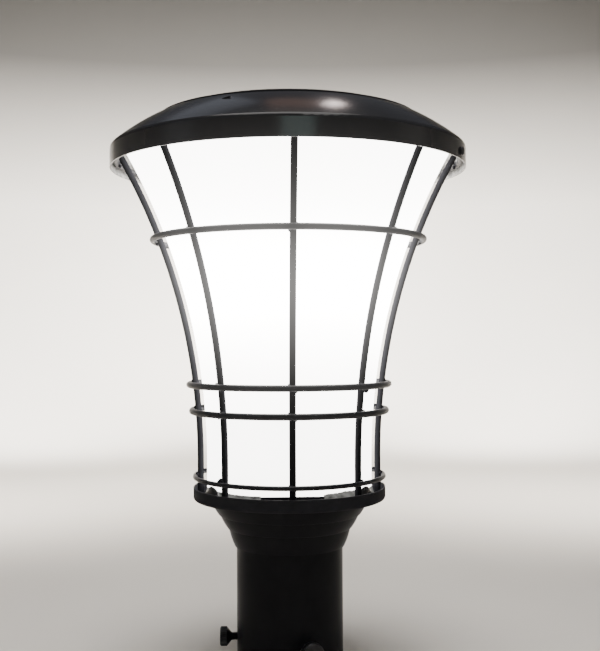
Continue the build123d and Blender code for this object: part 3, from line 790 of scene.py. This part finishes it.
class LayWelds(bpy.types.Operator):
    """Lay weld beads where bars and hoops cross, at the bars' feet and where each hoop closes"""

    bl_idname = "pillar_light.lay_welds"
    bl_label = "Weld beads"

    def execute(self, context):
        sizes = settings().welds
        paint = finish_called("bar_enamel", bar_enamel)
        for hoop in HOOPS:
            radius, height, wire_d = hoop_ring(hoop)
            bm = bmesh.new()
            for bar in BARS:
                dice = random.Random(hoop + bar)
                side, lift = dice.choice((-1, 1)), dice.choice((-1, 1))
                side, lift, heavy = HEAVY_BEADS.get((hoop, bar), (side, lift, 1.0))
                for way in (1, -1):
                    grown = dice.uniform(0.85, 1.1) * (heavy if way == 1 else 0.8)
                    size = Vector((sizes.length, sizes.length, sizes.depth)) * grown
                    corner = Vector((side, lift, 0)) * way * wire_d * CORNER_SHARE
                    place = spoke_place(spoke(bar), radius - wire_d / 2, height)
                    bead(bm, place @ Matrix.Translation(corner), size, dice.uniform(0, 9))
            dice = random.Random(hoop)
            behind = math.radians(HOOP_CLOSES + dice.uniform(-CLOSING_SPREAD, CLOSING_SPREAD))
            close = spoke_place(out_at(behind), radius, height)
            bead(bm, close, CLOSING_BEAD * wire_d, dice.uniform(0, 9))
            settle("welds_" + hoop, bm, "lantern", paint)
        low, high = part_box(BARS[0])
        bar_d = high.x - low.x
        bm = bmesh.new()
        for bar in BARS:
            dice = random.Random(bar)
            low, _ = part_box(bar)
            ends = [v.co for v in NODES[bar].data.vertices if v.co.z < low.z + NEAR]
            foot = max(end.dot(spoke(bar)) for end in ends)
            place = spoke_place(spoke(bar), foot - bar_d / 2, low.z + FOOT_BEAD_LIFT)
            size = FOOT_BEAD * bar_d * dice.uniform(0.9, 1.1)
            bead(bm, place, size, dice.uniform(0, 9))
        settle("welds_bar_feet", bm, "lantern", paint)
        return {"FINISHED"}


class LightDiffuser(bpy.types.Operator):
    """Give the two opal shells their sheet and a painted glow, which stands in for the lamp's light through
    them
    """

    bl_idname = "pillar_light.light_diffuser"
    bl_label = "Opal diffuser"

    def execute(self, context):
        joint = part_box("diffuser_upper")[0].z
        foot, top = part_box("diffuser_lower")[0].z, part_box("diffuser_upper")[1].z
        # Painted light and shade: the glow is brightest in a band on the upper shell, and dimmer above that
        # band and on the lower shell
        lower = [(foot, 0.32), (foot + 0.02, 0.35), (joint, 0.38)]
        upper = [(joint, 0.46), (joint + 0.03, 0.5), (joint + 0.06, 0.75), (joint + 0.085, 1.0),
                 (joint + 0.11, 0.85), (joint + 0.14, 0.56), (top, 0.46)]
        dress(lit_opal("opal_lower", lower), "diffuser_lower")
        dress(lit_opal("opal_upper", upper), "diffuser_upper")
        return {"FINISHED"}


PAN_SHEET = 0.001  # thickness of the pan's floor, which the sealant lies on
SEALANT_REACH = 0.0021  # from the diffuser along the pan's floor
REACH_SPREAD = 0.0008
BELOW_STRAP_END = 0.001  # where the bead runs behind the strap's edges
STRAP_MIDDLE = 0.7  # share of the strap's width with a thin bead only
THIN_BEAD = (0.0016, 0.0004)  # rise and reach
WEDGE_ENDS = 0.001  # height of a wedge's thin ends


class RunSealant(bpy.types.Operator):
    """Run an uneven bead of sealant round the diffuser's foot, and set its two rubber wedges"""

    bl_idname = "pillar_light.run_sealant"
    bl_label = "Sealant and wedges"

    def execute(self, context):
        sizes = settings().foot
        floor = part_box("base_pan")[0].z + PAN_SHEET
        wall = foot_radius("diffuser_lower")
        strap_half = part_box("holder_strap")[1].x
        strap_ends = [v.co.z for v in NODES["holder_strap"].data.vertices if abs(v.co.y) > wall]
        behind_strap = max(strap_ends) - floor - BELOW_STRAP_END

        def bead_outline(angle):
            out = out_at(angle)
            rise = sizes.rise * (1 + 0.05 * noise.noise(out * 9))
            fold = math.exp(-((angle - sizes.fold_angle) / sizes.fold_span) ** 2)
            rise += sizes.fold * fold * (1 + 0.35 * noise.noise(out * 60))
            reach = SEALANT_REACH + REACH_SPREAD * noise.noise(out * 5 + Vector((4, 0, 0)))
            if abs(out.x) * wall < strap_half:
                rise = min(rise, behind_strap)
            if abs(out.x) * wall < strap_half * STRAP_MIDDLE:
                rise, reach = THIN_BEAD
            slope = ((-0.0002, rise), (reach * 0.25, rise * 0.72), (reach * 0.6, rise * 0.3))
            return (*slope, (reach, 0.0001), (-0.0002, 0.0001))

        bm = bmesh.new()
        swept(bm, wall, floor, [angle - math.pi for angle in full_turn(720)], bead_outline, True)
        settle("sealant_bead", bm, "lantern", sealant("grey_sealant"), sharp=60)

        rubber = moulded(
            "wedge_rubber", (0.008, 0.008, 0.008), roughness=0.3, cells=900, relief=0.00004,
            speck=(0.03, 0.03, 0.03))
        for name, middle in (("foot_wedge_right", FRONT + sizes.wedge_right),
                             ("foot_wedge_left", FRONT - sizes.wedge_left)):

            def wedge_outline(angle):
                arch = math.cos((angle - middle) / sizes.wedge_span * math.pi) ** 0.6
                top = WEDGE_ENDS + (sizes.wedge_height - WEDGE_ENDS) * arch
                back = ((0.0008, 0.0002), (0.0008, top), (0.0016, top + 0.0004))
                return (*back, (0.0030, top - 0.0006), (0.0044, top * 0.6), (0.0048, 0.0002))

            bm = bmesh.new()
            half = sizes.wedge_span * 0.495
            angles = [middle + half * (step / 20 - 1) for step in range(41)]
            swept(bm, wall, floor, angles, wedge_outline, False)
            settle(name, bm, "lantern", rubber, sharp=50)
        return {"FINISHED"}


HEAD_EDGE = 0.09  # bevel of a thumb screw's head, as a share of the head's radius
KNURL_DEPTH = 0.075  # as a share of the head's radius
STEPS_PER_RIDGE = 6


class CutThumbScrews(bpy.types.Operator):
    """Turn, thread and knurl the three thumb screws"""

    bl_idname = "pillar_light.cut_thumb_screws"
    bl_label = "Thumb screws"

    def execute(self, context):
        pitch, ridges = settings().screws.clamp_pitch, settings().screws.ridges
        metal = finish_called("blackened_steel", blackened)
        for name in THUMB_SCREWS:
            low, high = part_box(name)
            stations = screw_stations(name)
            tip, end = stations[0][0], stations[-1][0]
            head_r = max(radius for _, radius in stations)
            shank_r = max(radius for along, radius in stations if along < tip + 2 * NEAR)
            slim = [along for along, radius in stations if radius < shank_r * 1.02]
            hub = max(along for along in slim if along < end - NEAR)
            face = min(along for along, radius in stations if radius > head_r * 0.85)
            edge = head_r * HEAD_EDGE
            place = spoke_place(spoke(name), 0, (low.z + high.z) / 2)
            bm = bmesh.new()
            start = tip + shank_r * 0.2
            shank = [(tip, shank_r * 0.75), *thread_stations(start, hub, shank_r, pitch)]
            groove = thread_ripple(start, hub, pitch, pitch * THREAD_DEPTH, False)
            turn(bm, [*shank, (hub + NEAR, shank_r)], 32, place, groove)
            rim = [(face + edge, head_r), (face + 1.1 * edge, head_r)]
            rim += [(end - 1.1 * edge, head_r), (end - edge, head_r)]
            dish = [(end, head_r * 0.72), (end - edge * 0.7, head_r * 0.6), (end - edge * 0.7, head_r * 0.1)]
            head = [(hub, shank_r), (face, head_r - edge), *rim, (end, head_r - edge), *dish]
            knurl = knurl_ripple(face + edge * 1.05, end - edge * 1.05, ridges, head_r * KNURL_DEPTH)
            turn(bm, head, STEPS_PER_RIDGE * ridges, place, knurl)
            screw = settle(name + "_knurled", bm, name, metal, sharp=30)
            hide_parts(name)
        return {"FINISHED"}


def headed_screw(bm, place, head_r, head_h, shank_r, length, pitch):
    """Round-headed screw: local Z points out of the head, and the head's seat is at 0."""
    start = -length + shank_r * 0.3
    shank = [(-length, shank_r * 0.7), *thread_stations(start, 0, shank_r, pitch)]
    turn(bm, shank, 24, place, thread_ripple(start, 0, pitch, pitch * THREAD_DEPTH, False))
    dome = [(0, head_r * 0.97), (head_h * 0.12, head_r), (head_h * 0.45, head_r)]
    for step in range(1, 7):
        swing = math.pi / 2 * step / 6
        dome.append((head_h * (0.45 + 0.55 * math.sin(swing)), head_r * (0.45 + 0.55 * math.cos(swing))))
    turn(bm, dome, 48, place)


class DriveCapScrews(bpy.types.Operator):
    """Turn the two screws that pinch the cap, with a cross recess in each head"""

    bl_idname = "pillar_light.drive_cap_screws"
    bl_label = "Cap screws"

    def execute(self, context):
        pitch = settings().screws.small_pitch
        metal = finish_called("blackened_steel", blackened)
        for name in CAP_SCREWS:
            low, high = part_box(name)
            stations = screw_stations(name)
            tip, end = stations[0][0], stations[-1][0]
            head_r = max(radius for _, radius in stations)
            shank_r = stations[0][1]
            seat = min(along for along, radius in stations if radius > head_r * 0.9)
            place = spoke_place(spoke(name), seat, (low.z + high.z) / 2)
            bm = bmesh.new()
            headed_screw(bm, place, head_r, end - seat, shank_r, seat - tip, pitch)
            screw = settle(name + "_crossed", bm, name, metal, sharp=35)
            top = place @ Matrix.Translation((0, 0, end - seat)) @ Matrix.Rotation(0.4, 4, "Z")
            cut_cross(screw, [top], span=head_r * 1.15, width=head_r * 0.28, depth=head_r * 0.34)
            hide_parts(name)
        return {"FINISHED"}


class DriveFixings(bpy.types.Operator):
    """Turn the screws of strap and lamp holder, and plate them and their nuts"""

    bl_idname = "pillar_light.drive_fixings"
    bl_label = "Strap and holder screws"

    def execute(self, context):
        pitch = settings().screws.small_pitch
        plate = finish_called("zinc_plate", zinc)
        dress(plate, "strap_nuts", "holder_nuts")
        for name in ("strap_screws", "holder_screws"):
            low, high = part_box(name)
            head_r = high.x
            verts = NODES[name].data.vertices
            seat = min(v.co.z for v in verts if abs(v.co.x) > head_r * 0.9)
            shank_r = max(v.co.x for v in verts if v.co.z < low.z + NEAR)
            bm = bmesh.new()
            places = [Matrix.Translation((0, way * (high.y - head_r), seat)) for way in (-1, 1)]
            for place in places:
                headed_screw(bm, place, head_r, high.z - seat, shank_r, seat - low.z, pitch)
            screws = settle(name + "_crossed", bm, "lantern", plate, sharp=35)
            tops = [place @ Matrix.Translation((0, 0, high.z - seat)) for place in places]
            cut_cross(screws, tops, span=head_r * 1.1, width=head_r * 0.26, depth=head_r * 0.36)
            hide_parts(name)
        return {"FINISHED"}


class FinishHolder(bpy.types.Operator):
    """Glaze the lamp holder, and finish its brass and the cable's grommet"""

    bl_idname = "pillar_light.finish_holder"
    bl_label = "Lamp holder"

    def execute(self, context):
        glaze = moulded(
            "holder_glaze", slot_colour("porcelain"), roughness=0.12, cells=160, relief=0.00005,
            speck=(0.55, 0.50, 0.42), coat=0.4)
        rubber = moulded(
            "grommet_rubber", slot_colour("grommet_rubber"), roughness=0.75, cells=1500, relief=0.00004,
            speck=(0.08, 0.08, 0.08))
        sleeve = brass("threaded_brass")
        tree = sleeve.node_tree
        parts = parted(tree, own_place(tree))
        turns = sums(tree, "DIVIDE", sums(tree, "ARCTAN2", parts["Y"], parts["X"]), math.tau)
        along = sums(tree, "DIVIDE", parts["Z"], settings().screws.lamp_pitch)
        phase = sums(tree, "SUBTRACT", along, turns)
        wave = sums(tree, "SINE", sums(tree, "MULTIPLY", phase, math.tau), 0)
        fill(tree, tree.nodes["Principled BSDF"], Normal=bumped(tree, wave, 0.0005))
        dress(glaze, "holder_body")
        dress(sleeve, "holder_shell")
        dress(finish_called("contact_brass", brass), "holder_contact")
        dress(rubber, "cable_grommet")
        return {"FINISHED"}


LAMP_THREAD_DEPTH = 0.0011
LAMP_COLLAR = 0.0012  # plain end of the lamp base above its thread


class FinishLamp(bpy.types.Operator):
    """Roll the lamp base's thread, and finish the lamp's housing, plate and lit globe"""

    bl_idname = "pillar_light.finish_lamp"
    bl_label = "Lamp"

    def execute(self, context):
        pitch = settings().screws.lamp_pitch
        low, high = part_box("lamp_base")
        radius, foot_r = high.x, foot_radius("lamp_base")
        skirt = min(v.co.z for v in NODES["lamp_base"].data.vertices if v.co.xy.length > radius * 0.98)
        place = Matrix()
        bm = bmesh.new()
        collar = high.z - LAMP_COLLAR
        rings = thread_stations(skirt, collar, radius, pitch)
        groove = thread_ripple(skirt, collar, pitch, LAMP_THREAD_DEPTH, True)
        turn(bm, [*rings, (high.z, radius)], 64, place, groove)
        nickel = bright_metal(
            "dull_nickel", slot_colour("lamp_nickel"), tarnish=(0.55, 0.53, 0.49), low_rough=0.18,
            high_rough=0.32)
        thread = settle("lamp_thread", bm, "lamp", nickel)
        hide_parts("lamp_base")
        bm = bmesh.new()
        turn(bm, [(low.z, foot_r), (low.z + 0.0008, foot_r + 0.0012), (skirt, radius * 0.93)], 64, place)
        black = moulded(
            "black_insulator", (0.012, 0.012, 0.013), roughness=0.15, cells=300, relief=0.00003,
            speck=(0.04, 0.04, 0.04))
        settle("lamp_insulator", bm, "lamp", black)
        dress(finish_called("contact_brass", brass), "lamp_tip")
        white = moulded(
            "housing_plastic", slot_colour("lamp_plastic"), roughness=0.45, cells=1200, relief=0.00003,
            speck=(0.74, 0.72, 0.68))
        dress(white, "lamp_housing")
        board = moulded(
            "coated_board", slot_colour("led_aluminium"), roughness=0.5, cells=2000, relief=0.00002,
            speck=(0.60, 0.58, 0.50))
        dress(board, "lamp_led_plate")
        foot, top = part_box("lamp_globe")[0].z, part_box("lamp_globe")[1].z
        dress(lit_opal("lamp_opal", [(foot, 0.5), (foot + 0.01, 0.65), (top, 0.7)]), "lamp_globe")
        return {"FINISHED"}


def hang(name, lamp, place, aim):
    """Hangs a light where it shines at a point, and hides it from the camera."""
    holder = bpy.data.objects.new(name, lamp)
    holder.location = place
    holder.rotation_euler = (Vector(aim) - Vector(place)).to_track_quat("-Z", "Y").to_euler()
    holder.visible_camera = False
    bpy.context.scene.collection.objects.link(holder)


def soft_light(name, place, aim, size, power, colour):
    """Rectangular soft light."""
    lamp = bpy.data.lights.new(name, "AREA")
    lamp.shape = "RECTANGLE"
    lamp.size, lamp.size_y = size
    lamp.energy, lamp.color = power, colour
    hang(name, lamp, place, aim)


def wash_light(name, place, aim, spread, power, colour):
    """Soft-edged wash of light on the backdrop."""
    lamp = bpy.data.lights.new(name, "SPOT")
    lamp.spot_size, lamp.spot_blend, lamp.shadow_soft_size = spread, 1, 0.2
    lamp.energy, lamp.color = power, colour
    hang(name, lamp, place, aim)


def sweep_mesh():
    """Round floor that curves up into an upright backdrop."""
    flat, bend, wall, around = 1.5, 0.9, 1.7, 96
    profile = [(0.05 * step, 0) for step in range(1, int(flat / 0.05) + 1)]
    for step in range(1, 17):
        swing = math.pi / 2 * step / 16
        profile.append((flat + bend * math.sin(swing), bend * (1 - math.cos(swing))))
    profile.append((flat + bend, wall))
    bm = bmesh.new()
    rings = []
    for radius, height in profile:
        places = [(radius * math.cos(angle), radius * math.sin(angle), height) for angle in full_turn(around)]
        rings.append([bm.verts.new(place) for place in places])
    bm.faces.new(rings[0])
    for inner, outer in zip(rings, rings[1:]):
        for step in range(around):
            bm.faces.new((inner[step - 1], outer[step - 1], outer[step], inner[step]))
    mesh = bpy.data.meshes.new("stage_sweep")
    bm.to_mesh(mesh)
    bm.free()
    mesh.shade_smooth()
    return mesh


def stage_paint_and_shade(name):
    """Pale paint, with painted shade that darkens it towards the backdrop's top."""
    tone = settings().stage.tone
    finish, tree, shader = new_finish(name)
    cloud = ranged(tree, grain(tree, 3, 3.0), (0.3, 0.7), (0, 1))
    paint = layer(tree, cloud, opaque(tone, 0.97), opaque(tone))
    height = parted(tree, own_place(tree))["Z"]
    # Painted shade: the backdrop darkens from 0.62 m up, to a fifth of its tone at 1.08 m, like the shadow
    # the lantern's cap throws on the wall above it
    upper = ranged(tree, height, (0.62, 1.08), (0, 1))
    fill(tree, shader, Base_Color=layer(tree, upper, paint, opaque(tone, 0.2)), Roughness=0.9)
    return finish


WALL_LIGHT = (1.0, 0.97, 0.93)
FLOOR_LIGHT = (1.0, 0.94, 0.86)

# Soft lights: name, place, aim, size, power and colour
SOFT_LIGHTS = (
    ("overhead", (0, -0.2, 2.2), (0, 0, 0), (1.5, 1.5), 25, (1.0, 0.97, 0.94)),
    ("front_tube", (0.14, -2.07, 0.77), (0, -0.127, 0.357), (0.7, 0.12), 1.2, (0.75, 1.0, 0.95)),
    ("ceiling_lamp", (0.265, 0.765, 1.565), (0.03, -0.111, 0.372), (0.075, 0.17), 0.8, (1.0, 0.86, 0.82)),
    ("warm_panel", (0.05, 0.7, 1.63), (0.004, -0.112, 0.373), (0.28, 0.3), 0.14, (1.0, 0.6, 0.45)),
    ("sky_panel", (-0.37, 0.86, 1.47), (-0.065, -0.093, 0.375), (0.42, 0.45), 0.24, (0.8, 0.86, 1.0)),
    ("left_panel", (-1.3, -0.5, 0.7), (0, 0, 0.2), (0.5, 0.9), 0.5, (0.86, 0.92, 1.0)),
    ("right_panel", (1.3, -0.3, 0.7), (0, 0, 0.2), (0.5, 0.9), 0.4, (1.0, 0.94, 0.88)),
)


def hang_lights():
    """Washes on floor and backdrop, soft lights round the lantern, and a faint light in the air."""
    wide, wider = math.radians(100), math.radians(110)
    for side, hand in ((-1, "left"), (1, "right")):
        wall, floor = (side * 0.5, 2.2, 0.22), (side * 0.5, 1.1, 0)
        wash_light("wall_wash_" + hand, (side * 0.5, 0.85, 0.55), wall, wide, 350, WALL_LIGHT)
        wash_light("floor_wash_" + hand, (side * 0.4, 0.35, 0.7), floor, wider, 125, FLOOR_LIGHT)
    wash_light("wall_wash_middle", (0, 1.15, 0.5), (0, 2.1, 0.3), math.radians(80), 40, WALL_LIGHT)
    for light in SOFT_LIGHTS:
        soft_light(*light)
    world = bpy.data.worlds.new("studio_air")
    world.use_nodes = True
    air = world.node_tree.nodes["Background"]
    air.inputs["Color"].default_value = (0.09, 0.095, 0.11, 1)
    air.inputs["Strength"].default_value = 1.0
    bpy.context.scene.world = world


def photo_camera():
    """Camera where the photo's was, trimmed a little to its framing."""
    stage = settings().stage
    lens = bpy.data.cameras.new("photo_camera")
    lens.lens = stage.lens
    lens.sensor_width = 36
    camera = bpy.data.objects.new("photo_camera", lens)
    across, back = math.sin(stage.bearing), math.cos(stage.bearing)
    camera.location = (stage.distance * across, -stage.distance * back, stage.eye)
    heading = stage.bearing - math.radians(0.64)
    pitch, roll = math.radians(90.71), math.radians(-0.25)
    turned = Matrix.Rotation(heading, 4, "Z") @ Matrix.Rotation(pitch, 4, "X") @ Matrix.Rotation(roll, 4, "Z")
    camera.matrix_world = Matrix.Translation(camera.location) @ turned
    bpy.context.scene.collection.objects.link(camera)
    bpy.context.scene.camera = camera


def veil_picture():
    """Weak veil round the brightest light, as in the photo's lens."""
    scene = bpy.context.scene
    scene.use_nodes = True
    tree = scene.node_tree
    tree.nodes.clear()
    seen = tree.nodes.new("CompositorNodeRLayers").outputs["Image"]
    sockets = {"Image": seen, "Threshold": 10.0, "Strength": settings().stage.veil, "Size": 0.35}
    veiled = wire(tree, "CompositorNodeGlare", sockets, glare_type="BLOOM").outputs["Image"]
    wire(tree, "CompositorNodeComposite", {"Image": veiled})


class SetStage(bpy.types.Operator):
    """Set the floor and backdrop, the soft lights and the camera"""

    bl_idname = "pillar_light.set_stage"
    bl_label = "Stage"

    def execute(self, context):
        sweep_piece = bpy.data.objects.new("stage_sweep", sweep_mesh())
        sweep_piece.data.materials.append(stage_paint_and_shade("stage_paint_and_shade"))
        bpy.context.scene.collection.objects.link(sweep_piece)
        hang_lights()
        photo_camera()
        veil_picture()
        return {"FINISHED"}


OPERATORS = (
    PaintShells, RollSeam, PaintCage, LayWelds, LightDiffuser, RunSealant, CutThumbScrews, DriveCapScrews,
    DriveFixings, FinishHolder, FinishLamp, SetStage)


class PillarLightPanel(bpy.types.Panel):
    """Settings and steps of the pillar light"""

    bl_idname = "VIEW3D_PT_pillar_light"
    bl_label = "Pillar Light"
    bl_space_type = "VIEW_3D"
    bl_region_type = "UI"
    bl_category = "Pillar Light"

    def draw(self, context):
        for group in ("enamel", "glow", "welds", "foot", "screws", "stage"):
            box = self.layout.box()
            box.label(text=group.capitalize())
            owner = getattr(context.scene.pillar_light, group)
            for name in owner.__annotations__:
                box.prop(owner, name)
        for step in OPERATORS:
            self.layout.operator(step.bl_idname)


CLASSES = (
    EnamelSettings, GlowSettings, WeldSettings, FootSettings, ScrewSettings, StageSettings,
    PillarLightSettings, *OPERATORS, PillarLightPanel)


def register():
    """Registers the settings, the steps and the panel."""
    for entry in CLASSES:
        bpy.utils.register_class(entry)
    bpy.types.Scene.pillar_light = PointerProperty(type=PillarLightSettings)


def unregister():
    """Takes them off again."""
    del bpy.types.Scene.pillar_light
    for entry in reversed(CLASSES):
        bpy.utils.unregister_class(entry)


def main():
    """Builds the light step by step."""
    register()
    for step in OPERATORS:
        getattr(bpy.ops.pillar_light, step.bl_idname.split(".")[1])()


if __name__ == "__main__":
    main()
